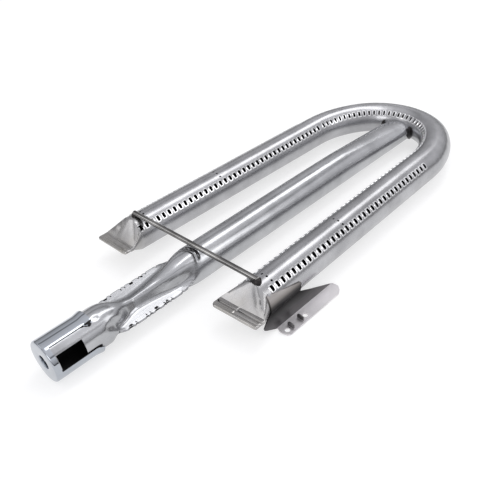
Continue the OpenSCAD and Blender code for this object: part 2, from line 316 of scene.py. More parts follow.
def pleat(side, run, x, z):
    """Height of the folds that the pinch leaves in the upper end panel."""
    top = 1 if z > 0 else -1
    t = run / PINCH
    if not 0 < t < 1.05 or top < 0:
        return 0.0
    rise = math.sin(math.pi * min(1, t)) ** 0.8
    edge = (LIP_W[side] / 2) * t + 4.4 * (1 - t)
    if side > 0:
        ridge = math.exp(-((x - edge + 0.6) / 1.1) ** 2) * 1.3
        groove = math.exp(-((x - edge + 3.4) / 1.5) ** 2) * 0.7
        far = math.exp(-((x + edge - 1.0) / 1.6) ** 2) * 0.7
        return rise * (ridge - groove + far)
    fold = math.exp(-((x + edge * 0.15) / 1.0) ** 2) * 0.6
    inner = x + edge
    crumple = math.exp(-((x + edge - 2.5) / 2.6) ** 2) * (0.9 * math.sin(inner * 2.1) + 0.8)
    return rise * (fold + crumple)


def build_tube(look, *materials):
    bpy.ops.object.select_all(action="DESELECT")
    bpy.ops.mesh.primitive_circle_add(vertices=COLUMNS, radius=TUBE_R * MM)
    tube = named("burner_tube_bent")
    start = -(BEND_HALF + LEG[1] + PINCH + 3)
    for i, vertex in enumerate(tube.data.vertices):
        vertex.co = on_tube(start, OUTER_ROW + (i + 0.5) * COLUMN)[0] * MM
    stations = {start, -start + (LEG[-1] - LEG[1])}
    ports = port_places(look)
    for s, angle in ports:
        if angle == INNER_ROW:
            stations.add(round(s - look.port_outline / 2, 4))
            stations.add(round(s + look.port_outline / 2, 4))
    pinch_runs = (-3.5, -1.2, -0.4, 0, 0.6, 1.5, 3, 4.5, 6, 7.5, 9, 10.5, 12, 13.2, PINCH, PINCH + 1)
    for side in (1, -1):
        for run in pinch_runs:
            stations.add(-side * (BEND_HALF + LEG[side] + run))
    stations.update((-BEND_HALF, -ARCH_HALF, ARCH_HALF, BEND_HALF))
    stations = sorted(stations)
    edit(tube)
    bpy.ops.mesh.select_all(action="SELECT")
    for a, b in zip(stations, stations[1:]):
        middle = (a + b) / 2
        if abs(middle) > BEND_HALF:
            move = (path(b)[0] - path(a)[0]) * MM
            bpy.ops.mesh.extrude_region_move(TRANSFORM_OT_translate={"value": move})
            continue
        side = 1 if middle < 0 else -1
        on_arch = abs(middle) < ARCH_HALF
        if on_arch:
            centre, radius = Vector((0, ARCH_Y, LEG_RISE)), ARCH_R
        else:
            centre, radius = Vector((side * SHOULDER_X, SHOULDER_Y, LEG_RISE)), SHOULDER_R
        turn = SPIN_SIGN * (b - a) / radius
        bpy.ops.mesh.spin(steps=1, angle=turn, center=centre * MM, axis=(0, 0, 1))
    object_mode()
    clean(tube)

    # Raised outline and opening of every port
    tree = kdtree.KDTree(len(ports))
    for i, (s, angle) in enumerate(ports):
        tree.insert((s, angle * TUBE_R, 0), i)
    tree.balance()
    half_along = look.port_outline / 2
    half_around = 2.5 * COLUMN * TUBE_R

    def from_port(point):
        """Distance from the nearest port along and around the tube, that port's s and the point's angle."""
        s, angle = tube_place(point / MM)
        i = tree.find((s, angle * TUBE_R, 0))[1]
        return s - ports[i][0], (angle - ports[i][1]) * TUBE_R, ports[i][0], angle

    def in_port(centre, normal):
        along_tube, around_tube = from_port(centre)[:2]
        return abs(along_tube) < half_along and abs(around_tube) < half_around

    pick_faces(tube, in_port)
    rim = look.port_rim * MM
    bpy.ops.mesh.inset(thickness=rim, depth=look.port_lift * MM, use_even_offset=True)
    wide = (look.port_outline - look.port_width) / 2 * MM - rim
    bpy.ops.mesh.inset(thickness=wide, use_even_offset=True)
    bpy.ops.mesh.delete(type="FACE")
    object_mode()

    # Round the ends of each outline and slot
    for vertex in tube.data.vertices:
        along_tube, around_tube, port_s, angle = from_port(vertex.co)
        if abs(along_tube) < half_along + 0.1 and abs(around_tube) < half_around + 0.1:
            end = min(1.0, abs(around_tube) / (half_around - half_along + abs(along_tube)))
            s = port_s + along_tube * math.sqrt(1 - 0.5 * end ** 4)
            height = (vertex.co / MM - path(port_s + along_tube)[0]).length
            vertex.co = on_tube(s, angle, height)[0] * MM

    # How far along and around the tube each point is, for the finish
    grain = tube.data.attributes.new("tube_place", "FLOAT_VECTOR", "POINT")
    for vertex, value in zip(tube.data.vertices, grain.data):
        s, angle = tube_place(vertex.co / MM)
        value.vector = Vector((s, math.sin(angle) * TUBE_R, math.cos(angle) * TUBE_R)) * MM

    # Pinch both ends
    for vertex in tube.data.vertices:
        point = vertex.co / MM
        s, angle = tube_place(point)
        side = 1 if s < 0 else -1
        run = abs(s) - BEND_HALF - LEG[side]
        if run <= 0:
            continue
        across, height = pinch_point(side, run, angle)
        height += pleat(side, run, across * side, height)
        centre, outward = path(s)
        vertex.co = (centre + outward * across + Vector((0, 0, height))) * MM
    tube.data.update()
    for material in materials:
        tube.data.materials.append(material)
    # The raised outline of each port takes the third finish, a lighter colour as painted highlight.
    for face in tube.data.polygons:
        if in_port(face.center, face.normal):
            face.material_index = 2
    # The inner skin and the cut walls take the near-black inside finish, painted shade in the hollow.
    modify(tube, "SOLIDIFY", thickness=look.wall * MM, offset=-1,
           material_offset=1, material_offset_rim=1)
    smooth(tube, 40)
    return tube


def lip_height(side, x, y):
    """Height of a lip's upper face, in mm: x across from its middle, y from its edge to the tube."""
    w = LIP_W[side] / 2
    z = 1.0
    if side > 0:
        notch = step(x, -2.4, -1.2)
        z += 0.55 * step(5.4 + 0.7 * notch - y, -0.5, 0.5)
        z -= 0.5 * math.exp(-((y - 6.6 - 0.7 * notch) / 0.55) ** 2)
        z -= 0.45 * math.exp(-((y - 3.0) / 0.5) ** 2) * notch
        z -= 0.35 * math.exp(-((x + 1.8) / 0.6) ** 2) * step(y, 1.5, 2.5)
    else:
        z += 0.5 * step(8.2 - y, -0.5, 0.5)
        z -= 0.4 * math.exp(-((y - 9.0) / 0.55) ** 2)
        z -= 0.4 * math.exp(-((y - 3.4) / 0.45) ** 2) * step(x, -4, 4)
        z += 0.15 * math.sin(x * 0.35) * step(y, 2, 6)
        z -= 0.5 * step(x, w - 8, w - 3) * (0.5 + 0.5 * math.sin(x * 1.7 + y * 1.2))
    z -= 0.7 * (1 - step(y, 0.0, 0.9))
    return z


def build_lip(look, side):
    """The flattened lip with its folded hem, as one thick sheet."""
    bpy.ops.object.select_all(action="DESELECT")
    bpy.ops.mesh.primitive_grid_add(x_subdivisions=80, y_subdivisions=56, size=1)
    lip = named("lip")
    w = LIP_W[side]
    centre = path(-side * (BEND_HALF + LEG[side] + PINCH + LIP))[0]
    inward = Vector((-side * math.sin(SPLAY), math.cos(SPLAY), 0))
    across = Vector((inward.y, -inward.x, 0))
    edit(lip)
    bpy.ops.mesh.select_all(action="SELECT")
    bpy.ops.mesh.extrude_region_move(TRANSFORM_OT_translate={"value": (0, 0, -1)})
    object_mode()
    for vertex in lip.data.vertices:
        x = vertex.co.x * w
        y = (vertex.co.y + 0.5) * (LIP + 0.6)
        top = vertex.co.z > -0.5
        corner = 4.0 if (x * side < 0) else 2.5
        near = w / 2 - abs(x)
        cut = corner - math.sqrt(max(0.0, corner ** 2 - max(0.0, corner - near) ** 2))
        y += cut * max(0.0, 1 - y / (LIP * 0.7))
        z = lip_height(side, x, y - cut) if top else -0.9 + 0.3 * (1 - step(y, 0.0, 0.9))
        z *= 0.25 + 0.75 * step(near, 0.0, 0.8)
        point = centre + across * x + inward * y + Vector((0, 0, z + look.lip_tilt * x))
        vertex.co = point * MM
    lip.data.update()
    clean(lip)
    smooth(lip, 66)
    grain = lip.data.attributes.new("tube_place", "FLOAT_VECTOR", "POINT")
    for vertex, value in zip(lip.data.vertices, grain.data):
        value.vector = (vertex.co.x, vertex.co.y, TUBE_R * MM)
    return lip


def cut_holes(obj, places, radius, depth):
    """Drills round holes: each place is a point and the direction of the drill, in mm."""
    drills = []
    for spot, direction in places:
        bpy.ops.object.select_all(action="DESELECT")
        bpy.ops.mesh.primitive_cylinder_add(vertices=20, radius=radius * MM, depth=depth * MM)
        drill = named("drill")
        turn = direction.to_track_quat("Z", "Y").to_matrix().to_4x4()
        drill.matrix_world = Matrix.Translation(spot * MM) @ turn
        settle(drill)
        drills.append(drill)
    tool = join(*drills) if len(drills) > 1 else drills[0]
    modify(obj, "BOOLEAN", operation="DIFFERENCE", object=tool, solver="EXACT")
    bpy.data.objects.remove(tool)


# The mixer tube: round, then pressed flat on both sides round a narrow throat, then round again.
# Half-width of the ridge, height of the ridge, foot of the flank and edge of the fin, along the throat
THROAT_RIDGE = [(47, 6.5), (58, 5), (70, 2.2), (78, 1.0), (90, 1.8), (115, 4.2), (141, 6.0)]
THROAT_HEIGHT = [(47, 15), (58, 13), (68, 9.8), (78, 7.4), (90, 8.0), (115, 11.4), (141, 15.2)]
THROAT_FOOT = [(47, 15), (58, 11.5), (70, 7.8), (78, 6.6), (90, 7.4), (115, 10.6), (141, 15.5)]
THROAT_FIN = [(47, 16), (53, 17.2), (64, 18.3), (122, 18.5), (136, 17.0), (143, 16)]

# Dents in the mixer tube's top: distance from the inlet, degrees from the top, size and depth
DENTS = ((43.3, 23.6, 2.2, 0.6), (37.0, 81.0, 2.0, 0.5), (49.5, 66.0, 3.6, 1.2))


def throat_outline(y, run):
    """Point on a quarter of the throat's outline, from the ridge to the fin, at a share run of its length."""
    ridge = along(y, THROAT_RIDGE)
    height = along(y, THROAT_HEIGHT)
    foot = along(y, THROAT_FOOT)
    fin = along(y, THROAT_FIN)
    corners = [(0, height), (ridge, height - 0.3), (foot, 1.2), (max(fin, foot + 0.4), 1.2)]
    lengths = [math.dist(p, q) for p, q in zip(corners, corners[1:])]
    left = abs(run) * sum(lengths)
    for (p, q), length in zip(zip(corners, corners[1:]), lengths):
        if left <= length:
            break
        left -= length
    t = min(1.0, left / length)
    return math.copysign(1, run) * (p[0] + (q[0] - p[0]) * t), p[1] + (q[1] - p[1]) * t


def mixer_point(y, angle):
    """Point of the mixer tube's skin, y from the inlet and at an angle from the top, towards +X."""
    folded = abs(angle) if abs(angle) <= math.pi / 2 else math.pi - abs(angle)
    top = 1 if abs(angle) <= math.pi / 2 else -1
    sign = 1 if angle >= 0 else -1
    u = folded / (math.pi / 2)
    soft = [throat_outline(y, min(1.0, u + d)) for d in (-0.08, -0.04, 0, 0.04, 0.08)]
    flat_x = sum(p[0] for p in soft) / len(soft)
    flat_z = sum(p[1] for p in soft) / len(soft)
    flat_z *= 1 - step(u, 0.94, 1.0)
    body = step(y, 46.5, 72) * (1 - step(y, 100, 143))
    side = step(y, 47.5, 58) * (1 - step(y, 116, 142))
    weight = body + (side - body) * step(u, 0.35, 0.7)
    x = (1 - weight) * TUBE_R * math.sin(folded) + weight * flat_x
    z = (1 - weight) * TUBE_R * math.cos(folded) + weight * flat_z
    dent = 0.0
    if top > 0:
        for spot_y, spot_a, size, depth in DENTS:
            dy = y - spot_y
            da = (math.degrees(angle) - spot_a) * 0.28
            dent += depth * math.exp(-(dy * dy + da * da) / (size * size))
        crease = math.exp(-((y - (142.2 - 0.09 * abs(math.degrees(angle) - 22))) / 1.3) ** 2)
        dent += 1.3 * crease * step(0.6 - u, 0, 0.25)
    scale = 1 - dent / TUBE_R
    roll = THROAT_ROLL * step(y, 47, 62) * (1 - step(y, 112, 142))
    x, z = sign * x * scale, top * z * scale
    turned_x = x * math.cos(roll) + z * math.sin(roll)
    return Vector((turned_x, y, z * math.cos(roll) - x * math.sin(roll)))


def pressed_top(point):
    """Lowers the mixer tube's top towards the bend, so that it goes in below the ports."""
    run = point.y - FLAT_START
    fall = (run + math.hypot(run, 14)) / 2 * math.tan(FLAT_FALL)
    if point.z > 0:
        point.z *= 1 - fall / TUBE_R
        point.x *= 1 + 0.08 * fall / TUBE_R
    return point


def build_mixer(look, *materials):
    bpy.ops.object.select_all(action="DESELECT")
    columns = 144
    bpy.ops.mesh.primitive_circle_add(vertices=columns, radius=TUBE_R * MM)
    mixer = named("mixer_tube_pressed")
    first = 1.6
    for i, vertex in enumerate(mixer.data.vertices):
        angle = 2 * math.pi * i / columns
        vertex.co = Vector((TUBE_R * math.sin(angle), first, TUBE_R * math.cos(angle))) * MM
    rings = [3.5, WINDOW_FRONT, 10, 16, 22, WINDOW_REAR, 30, 34]
    rings += [36 + 1.25 * i for i in range(89)]
    rings += [147.5, 150, 155, 170, 200, 240, 280, 320, FLAT_START]
    rings += [352, 360, 380, 400, 420, 440, 450, 458, MIXER_END]
    edit(mixer)
    bpy.ops.mesh.select_all(action="SELECT")
    last = first
    for ring in rings:
        bpy.ops.mesh.extrude_region_move(TRANSFORM_OT_translate={"value": (0, (ring - last) * MM, 0)})
        last = ring
    object_mode()
    for vertex in mixer.data.vertices:
        x, y, z = vertex.co / MM
        if 27 < y < 160:
            vertex.co = mixer_point(y, math.atan2(x, z)) * MM
        else:
            vertex.co = pressed_top(Vector((x, y, z))) * MM
    mixer.data.update()
    clean(mixer)

    def window(centre, normal):
        angle = math.degrees(math.atan2(centre.x, centre.z)) % 180
        return WINDOW_FRONT < centre.y / MM < WINDOW_REAR and 50 < angle < 130

    pick_faces(mixer, window)
    bpy.ops.mesh.delete(type="FACE")
    object_mode()
    wall = mixer.vertex_groups.new(name="wall")
    for vertex in mixer.data.vertices:
        x, y, z = vertex.co / MM
        edge = step(math.hypot(x, z), 9, 13) * step(y, 46, 50) * (1 - step(y, 138, 143))
        wall.add([vertex.index], 1 - edge, "REPLACE")
    for material in materials:
        mixer.data.materials.append(material)
    # The inner skin takes the near-black inside finish, painted shade in the hollow.
    modify(mixer, "SOLIDIFY", thickness=look.wall * MM, offset=-1, vertex_group="wall",
           thickness_vertex_group=0.25, material_offset=1)
    smooth(mixer, 80)
    return mixer


def build_shutter(look, *materials):
    bpy.ops.object.select_all(action="DESELECT")
    columns = 144
    bpy.ops.mesh.primitive_circle_add(vertices=columns, radius=5.5 * MM)
    shutter = named("air_shutter_cup")
    for i, vertex in enumerate(shutter.data.vertices):
        angle = 2 * math.pi * i / columns + math.radians(0.9)
        vertex.co = Vector((5.5 * math.sin(angle), 3.0, 5.5 * math.cos(angle))) * MM
    profile = [(5.5, 3.0), (5.5, 0.9), (5.65, 0.35), (6.05, 0.08), (6.6, 0.0), (10, 0.0), (15.2, 0.0),
               (15.85, 0.08), (16.4, 0.35), (16.8, 0.85), (16.97, 1.5)]
    profile += [(SHUTTER_R, y) for y in (2.2, 4.6, 12, 22, 30, 32, 33.5, 35, 36.5, 38, SHUTTER_REAR)]
    edit(shutter)
    bpy.ops.mesh.select_all(action="SELECT")
    for (r0, y0), (r1, y1) in zip(profile, profile[1:]):
        bpy.ops.mesh.extrude_region_move(TRANSFORM_OT_translate={"value": (0, (y1 - y0) * MM, 0)})
        if r1 != r0:
            bpy.ops.transform.resize(value=(r1 / r0, 1, r1 / r0), center_override=(0, y1 * MM, 0))
    object_mode()
    clean(shutter)

    def notch(centre, normal):
        angle = (math.degrees(math.atan2(centre.x, centre.z)) - NOTCH_START) % 180
        return centre.y / MM > 4.6 and angle < NOTCH_SPAN

    pick_faces(shutter, notch)
    bpy.ops.mesh.delete(type="FACE")
    object_mode()
    for vertex in shutter.data.vertices:
        x, y, z = vertex.co / MM
        if y < 22:
            continue
        angle = math.degrees(math.atan2(x, z))
        lead = (angle - NOTCH_START + 0.01) % 180
        back = 180 - lead
        r = SHUTTER_R + look.shutter_flare * step(y, 33, SHUTTER_REAR)
        turn = 0.0
        tail = y
        if back < 30:
            turn = 11 * step(y, 30.5, 36) * (1 - back / 30) ** 0.7
            tail -= 1.8 * step(back, 6, 0) * step(y, 34, SHUTTER_REAR)
        over = lead - NOTCH_SPAN
        if 0 <= over < 8:
            tail -= 2.2 * (1 - step(over, 0, 8)) * step(y, 34, SHUTTER_REAR)
            turn = 3.0 * step(y, 35, SHUTTER_REAR) * (1 - over / 8)
        a = math.radians(angle + turn)
        vertex.co = Vector((r * math.sin(a), tail, r * math.cos(a))) * MM
    shutter.data.update()
    for material in materials:
        shutter.data.materials.append(material)
    # The inner face and the cut edges take the near-black finish, painted shade in the gaps.
    modify(shutter, "SOLIDIFY", thickness=0.7 * MM, offset=-1,
           material_offset=1, material_offset_rim=1)
    smooth(shutter, 40)
    return shutter


def build_rod(look):
    bpy.ops.object.select_all(action="DESELECT")
    bpy.ops.mesh.primitive_cylinder_add(
        vertices=32, radius=look.rod_d / 2 * MM, depth=2 * ROD_HALF * MM,
        location=(0, ROD_Y * MM, ROD_Z * MM), rotation=(0, math.pi / 2, 0))
    rod = named("brace_rod_round")
    settle(rod)
    pick_faces(rod, lambda centre, normal: abs(normal.x) > 0.9)
    bpy.ops.mesh.inset(thickness=0.6 * MM)
    object_mode()
    for vertex in rod.data.vertices:
        off_axis = math.hypot(vertex.co.y - ROD_Y * MM, vertex.co.z - ROD_Z * MM)
        if off_axis < (look.rod_d / 2 - 0.3) * MM:
            vertex.co.x += math.copysign(0.35 * MM, vertex.co.x)
    smooth(rod, 50)
    return rod


def build_weld(name, spot, size, squash, seed):
    """A lump of weld metal with the ripples of a hand weld."""
    bpy.ops.object.select_all(action="DESELECT")
    bpy.ops.mesh.primitive_uv_sphere_add(segments=40, ring_count=24, radius=1)
    weld = named(name)
    for vertex in weld.data.vertices:
        n = vertex.co.normalized()
        ripple = 0.05 * math.sin(9 * n.x + 3.1 * seed) * math.sin(7 * n.y + seed)
        ripple += 0.035 * math.sin(17 * n.z + 5 * n.x)
        ripple += 0.05 * math.sin(5 * n.y - 4 * n.x + 2 * seed)
        bulge = Vector((n.x * squash[0], n.y * squash[1], n.z * squash[2])) * size / 2
        vertex.co = (spot + bulge * (1 + ripple)) * MM
    weld.data.update()
    smooth(weld, 60)
    return weld


def bracket_section(u):
    """Section of the bracket's sheet: x and z, and its front and rear ends.

    u runs from 0 to 1 over the saddle, to 2 down the web and to 3 over the flange.
    """
    end = math.radians(112)
    r = TUBE_R + 0.1 + 0.6
    foot = Vector((r * math.sin(end), 0, r * math.cos(end) + LEG_RISE))
    if u <= 1:
        angle = math.radians(52 + 60 * u)
        x, z = r * math.sin(angle), r * math.cos(angle) + LEG_RISE
        rear = BRACKET_FRONT + 36 * min(1.0, (60 * u + 1.5) / 30)
        return x, z, BRACKET_FRONT, rear
    if u <= 2:
        t = u - 1
        x = foot.x + BRACKET_WEB * math.sin(BRACKET_LEAN) * t
        z = foot.z - BRACKET_WEB * math.cos(BRACKET_LEAN) * t
        front = along(t, [(0, BRACKET_FRONT), (0.15, 135.6), (0.5, 130.2), (0.62, 130.6), (1, 142.5)])
        rear = along(t, [(0, 174.4), (0.08, 176.0), (1, 210.2)])
        return x, z, front, rear
    t = u - 2
    x = foot.x + BRACKET_WEB * math.sin(BRACKET_LEAN) + FLANGE_W * t
    z = foot.z - BRACKET_WEB * math.cos(BRACKET_LEAN)
    front = along(t, [(0, 142.5), (0.3, 140.8), (0.55, 140.6), (0.85, 141.8), (1, 144)])
    rear = along(t, [(0, 210.2), (0.5, 210.6), (0.8, 207.5), (1, 203)])
    return x, z, front, rear


def build_bracket(look):
    bpy.ops.object.select_all(action="DESELECT")
    columns, rows = 48, 60
    bpy.ops.mesh.primitive_grid_add(x_subdivisions=rows, y_subdivisions=columns, size=1)
    bracket = named("igniter_bracket_folded")
    bends = [0, 0.12, 0.24, 0.36, 0.48, 0.6, 0.72, 0.84, 0.94]
    bends += [1.0, 1.06, 1.16, 1.35, 1.5, 1.62, 1.8, 1.93, 1.97]
    bends += [2.0, 2.03, 2.08, 2.25, 2.42, 2.6, 2.78, 2.9, 3.0]
    for vertex in bracket.data.vertices:
        k = (vertex.co.x + 0.5) * (len(bends) - 1)
        i = min(int(k), len(bends) - 2)
        u = bends[i] + (bends[i + 1] - bends[i]) * (k - i)
        x, z, front, rear = bracket_section(u)
        y = front + (rear - front) * (vertex.co.y + 0.5)
        spread = HALF_SPACING + (BEND_Y - (y if u < 1 else BRACKET_FRONT)) * math.tan(SPLAY)
        if 1 <= u < 1.4:
            near = HALF_SPACING + (BEND_Y - y) * math.tan(SPLAY)
            spread += (near - spread) * (1.4 - u) / 0.4
        vertex.co = Vector((spread + x, y, z)) * MM
    bracket.data.update()
    clean(bracket)
    modify(bracket, "SOLIDIFY", thickness=look.sheet * MM, offset=0)
    holes = [(Vector((FLANGE_HOLE_X, y, FLANGE_Z)), Vector((0, 0, 1))) for y in (145.6, 166.8)]
    cut_holes(bracket, holes, FLANGE_HOLE_R, 8)
    tabs = []
    for y in (149.2, 160.4):
        bpy.ops.object.select_all(action="DESELECT")
        bpy.ops.mesh.primitive_cube_add(
            size=1, location=(FLANGE_HOLE_X * MM, (y + 0.6) * MM, (FLANGE_Z + 2.3) * MM),
            scale=(6 * MM, look.sheet * MM, 4.6 * MM))
        tab = named("tab")
        settle(tab)
        pick_edges(tab, lambda p: p.z > (FLANGE_Z + 4) * MM)
        bpy.ops.mesh.bevel(offset=1.2 * MM, segments=4)
        object_mode()
        modify(tab, "BEVEL", width=0.25 * MM, segments=2, limit_method="ANGLE")
        tabs.append(tab)
    join(bracket, *tabs)
    smooth(bracket, 35)
    return bracket


# Finishes

def node(tree, kind, x, y, **inputs):
    """Adds a shader node at a place, with its settings."""
    made = tree.nodes.new(kind)
    made.location = (x, y)
    for key, value in inputs.items():
        setattr(made, key, value)
    return made


def steel(name, colour, rough, streak=(1.0, 0.03, 1.0), scale=900.0, tint=0.0, blotch=0.12, bump=0.1,
          attribute="", tint_y=(0.15, 0.11), bands=()):
    """Sheet steel: fine grain, cloudy patches, bands of painted light and shade by height and a straw tint
    along Y.
    """
    material = bpy.data.materials.new(name)
    material.use_nodes = True
    tree = material.node_tree
    tree.nodes.clear()
    link = tree.links.new
    out = node(tree, "ShaderNodeOutputMaterial", 900, 0)
    shader = node(tree, "ShaderNodeBsdfPrincipled", 600, 0)
    shader.inputs["Metallic"].default_value = 1.0
    link(shader.outputs["BSDF"], out.inputs["Surface"])
    place = node(tree, "ShaderNodeTexCoord", -1100, 0)
    source = place.outputs["Object"]
    if attribute:
        source = node(tree, "ShaderNodeAttribute", -1100, -250, attribute_name=attribute).outputs["Vector"]
    stretch = node(tree, "ShaderNodeMapping", -900, -250)
    stretch.inputs["Scale"].default_value = streak
    link(source, stretch.inputs["Vector"])
    grain = node(tree, "ShaderNodeTexNoise", -700, -250)
    grain.inputs["Scale"].default_value = scale
    grain.inputs["Detail"].default_value = 4
    link(stretch.outputs["Vector"], grain.inputs["Vector"])
    cloud = node(tree, "ShaderNodeTexNoise", -700, 100)
    cloud.inputs["Scale"].default_value = 38
    cloud.inputs["Detail"].default_value = 5
    link(place.outputs["Object"], cloud.inputs["Vector"])
    patch = node(tree, "ShaderNodeMapRange", -500, 100)
    patch.inputs["From Min"].default_value = 0.35
    patch.inputs["From Max"].default_value = 0.7
    patch.inputs["To Min"].default_value = 1 - blotch
    patch.inputs["To Max"].default_value = 1 + blotch * 0.4
    link(cloud.outputs["Fac"], patch.inputs["Value"])
    paint = node(tree, "ShaderNodeMix", -300, 200, data_type="RGBA", blend_type="MULTIPLY")
    paint.inputs["Factor"].default_value = 1.0
    paint.inputs["A"].default_value = (*colour, 1)
    link(patch.outputs["Result"], paint.inputs["B"])
    colour_out = paint.outputs["Result"]
    split = node(tree, "ShaderNodeSeparateXYZ", -900, 450)
    link(place.outputs["Object"], split.inputs["Vector"])
    # Painted light and shade: the colour is multiplied by a ramp over the object's height.
    if bands:
        level = node(tree, "ShaderNodeMapRange", -700, 950)
        level.inputs["From Min"].default_value = bands[0][0] * MM
        level.inputs["From Max"].default_value = bands[-1][0] * MM
        link(split.outputs["Z"], level.inputs["Value"])
        painted_shading = node(tree, "ShaderNodeValToRGB", -500, 950)
        span = bands[-1][0] - bands[0][0]
        stops = painted_shading.color_ramp.elements
        stops[0].color, stops[1].color = (*bands[0][1], 1), (*bands[-1][1], 1)
        for height, shade in bands[1:-1]:
            stops.new((height - bands[0][0]) / span).color = (*shade, 1)
        link(level.outputs["Result"], painted_shading.inputs["Fac"])
        scale_by = node(tree, "ShaderNodeMix", -150, 500, data_type="RGBA", blend_type="MULTIPLY")
        scale_by.inputs["Factor"].default_value = 1.0
        link(colour_out, scale_by.inputs["A"])
        link(painted_shading.outputs["Color"], scale_by.inputs["B"])
        colour_out = scale_by.outputs["Result"]
    if tint:
        near = node(tree, "ShaderNodeMapRange", -700, 450)
        near.inputs["From Min"].default_value = tint_y[0]
        near.inputs["From Max"].default_value = tint_y[1]
        link(split.outputs["Y"], near.inputs["Value"])
        mottle = node(tree, "ShaderNodeTexNoise", -700, 700)
        mottle.inputs["Scale"].default_value = 90
        mottle.inputs["Detail"].default_value = 3
        link(place.outputs["Object"], mottle.inputs["Vector"])
        strength = node(tree, "ShaderNodeMath", -500, 500, operation="MULTIPLY")
        link(near.outputs["Result"], strength.inputs[0])
        link(mottle.outputs["Fac"], strength.inputs[1])
        gain = node(tree, "ShaderNodeMath", -350, 500, operation="MULTIPLY", use_clamp=True)
        link(strength.outputs["Value"], gain.inputs[0])
        gain.inputs[1].default_value = tint
        warm = node(tree, "ShaderNodeMix", -100, 300, data_type="RGBA", blend_type="MULTIPLY")
        warm.inputs["B"].default_value = (0.86, 0.78, 0.60, 1)
        link(gain.outputs["Value"], warm.inputs["Factor"])
        link(colour_out, warm.inputs["A"])
        colour_out = warm.outputs["Result"]
    link(colour_out, shader.inputs["Base Color"])
    gloss = node(tree, "ShaderNodeMapRange", -300, -100)
    gloss.inputs["From Min"].default_value = 0.3
    gloss.inputs["From Max"].default_value = 0.75
    gloss.inputs["To Min"].default_value = rough * 0.8
    gloss.inputs["To Max"].default_value = rough * 1.25
    link(grain.outputs["Fac"], gloss.inputs["Value"])
    link(gloss.outputs["Result"], shader.inputs["Roughness"])
    height = node(tree, "ShaderNodeBump", 300, -300)
    height.inputs["Strength"].default_value = bump
    height.inputs["Distance"].default_value = 0.0002
    link(grain.outputs["Fac"], height.inputs["Height"])
    link(height.outputs["Normal"], shader.inputs["Normal"])
    return material


def paint_node(name, material):
    """Gives a node that stands as it is its finish."""
    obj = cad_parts[name]
    obj.data.materials.clear()
    obj.data.materials.append(material)


class BurnerSizes(bpy.types.PropertyGroup):
    """Sizes of the burner's details, in millimetres."""

    wall: FloatProperty(
        name="Tube wall", description="Wall of the bent tube and the mixer tube, mm", default=0.95)
    port_start: FloatProperty(
        name="First port", description="From the bend to the first inner port, mm", default=248.2)
    port_pitch: FloatProperty(
        name="Port pitch", description="From one port to the next on a leg, mm", default=6.4)
    bend_pitch: FloatProperty(
        name="Bend port pitch", description="From one port to the next in the bend, mm", default=6.95)
    port_outline: FloatProperty(
        name="Port outline", description="Width of a port's raised outline, mm", default=5.4)
    port_width: FloatProperty(
        name="Port width", description="Width of a port's opening, mm", default=3.1)
    port_rim: FloatProperty(
        name="Port rim", description="Width of the rim's outer slope, mm", default=0.4)
    port_lift: FloatProperty(
        name="Port lift", description="How far a port's rim stands up, mm", default=0.45)
    lip_tilt: FloatProperty(
        name="Lip tilt", description="Rise of a lip across its width, per mm", default=0.03)
    shutter_flare: FloatProperty(
        name="Shutter flare", description="Flare at the shutter's tongues, mm", default=0.9)
    rod_d: FloatProperty(name="Rod diameter", description="Diameter of the brace rod, mm", default=4.6)
    sheet: FloatProperty(
        name="Bracket sheet", description="Thickness of the bracket's sheet, mm", default=1.2)


class BurnerColours(bpy.types.PropertyGroup):
    """Colours of the burner's finishes."""

    tube: FloatVectorProperty(
        name="Tube", description="Bent tube's steel", subtype="COLOR", default=(0.46, 0.46, 0.475))
    mixer: FloatVectorProperty(
        name="Mixer tube", description="Mixer tube's steel", subtype="COLOR", default=(0.47, 0.475, 0.49))
    shutter: FloatVectorProperty(
        name="Shutter", description="Air shutter's steel", subtype="COLOR", default=(0.45, 0.475, 0.515))
    rod: FloatVectorProperty(
        name="Rod", description="Brace rod's steel", subtype="COLOR", default=(0.52, 0.51, 0.50))
    bracket: FloatVectorProperty(
        name="Bracket", description="Bracket's steel", subtype="COLOR", default=(0.72, 0.70, 0.715))
    weld: FloatVectorProperty(
        name="Welds", description="Burnt weld metal", subtype="COLOR", default=(0.075, 0.07, 0.07))
    # Port rims: a lighter colour as painted highlight.
    rim: FloatVectorProperty(
        name="Port rims", description="Port rims lightened as painted highlight", subtype="COLOR", default=(0.85, 0.85, 0.86))
    # Inside: near-black, as painted shade in the hollow tubes.
    inside: FloatVectorProperty(
        name="Inside", description="Inside of the tube, darkened as painted shade", subtype="COLOR", default=(0.03, 0.03, 0.03))
    floor: FloatVectorProperty(
        name="Floor", description="Pale floor", subtype="COLOR", default=(0.5, 0.5, 0.5))


class BURNER_OT_tube(bpy.types.Operator):
    """Bent burner tube with its ports, pinched ends and hemmed lips"""

    bl_idname = "burner.tube"
    bl_label = "Burner tube"

    def execute(self, context):
        look = context.scene.burner_sizes
        colours = context.scene.burner_colours
        skin = steel("drawn_tube_steel", colours.tube, 0.27, streak=(0.05, 1, 1), scale=1400,
                     tint=0.8, attribute="tube_place", blotch=0.2)
        # The inside finish is near-black as painted shade within the tube and its openings.
        inside = steel("painted_shade_inside", colours.inside, 0.6, scale=1400, blotch=0.3)
        # The port rims are painted far lighter than the tube as a painted highlight.
        rim = steel("painted_highlight_port_rim", colours.rim, 0.2, scale=1400, blotch=0.1)
        tube = build_tube(look, skin, inside, rim)
        places = []
        for side in (1, -1):
            for distance in (237.5 + (LEG[side] - LEG[1]), 146 if side > 0 else 151):
                for k in (-1, 0, 1):
                    angle = side * math.radians(CROSSOVER_ANGLE + CROSSOVER_STEP * k)
                    places.append(on_tube(-side * (BEND_HALF + distance), angle))
        cut_holes(tube, places, CROSSOVER_R, 5)
        lips = [build_lip(look, side) for side in (1, -1)]
        for lip in lips:
            lip.data.materials.append(skin)
        join(tube, *lips)
        finish_piece(tube, BURNER, None, "tube_steel", "burner_tube")
        return {"FINISHED"}


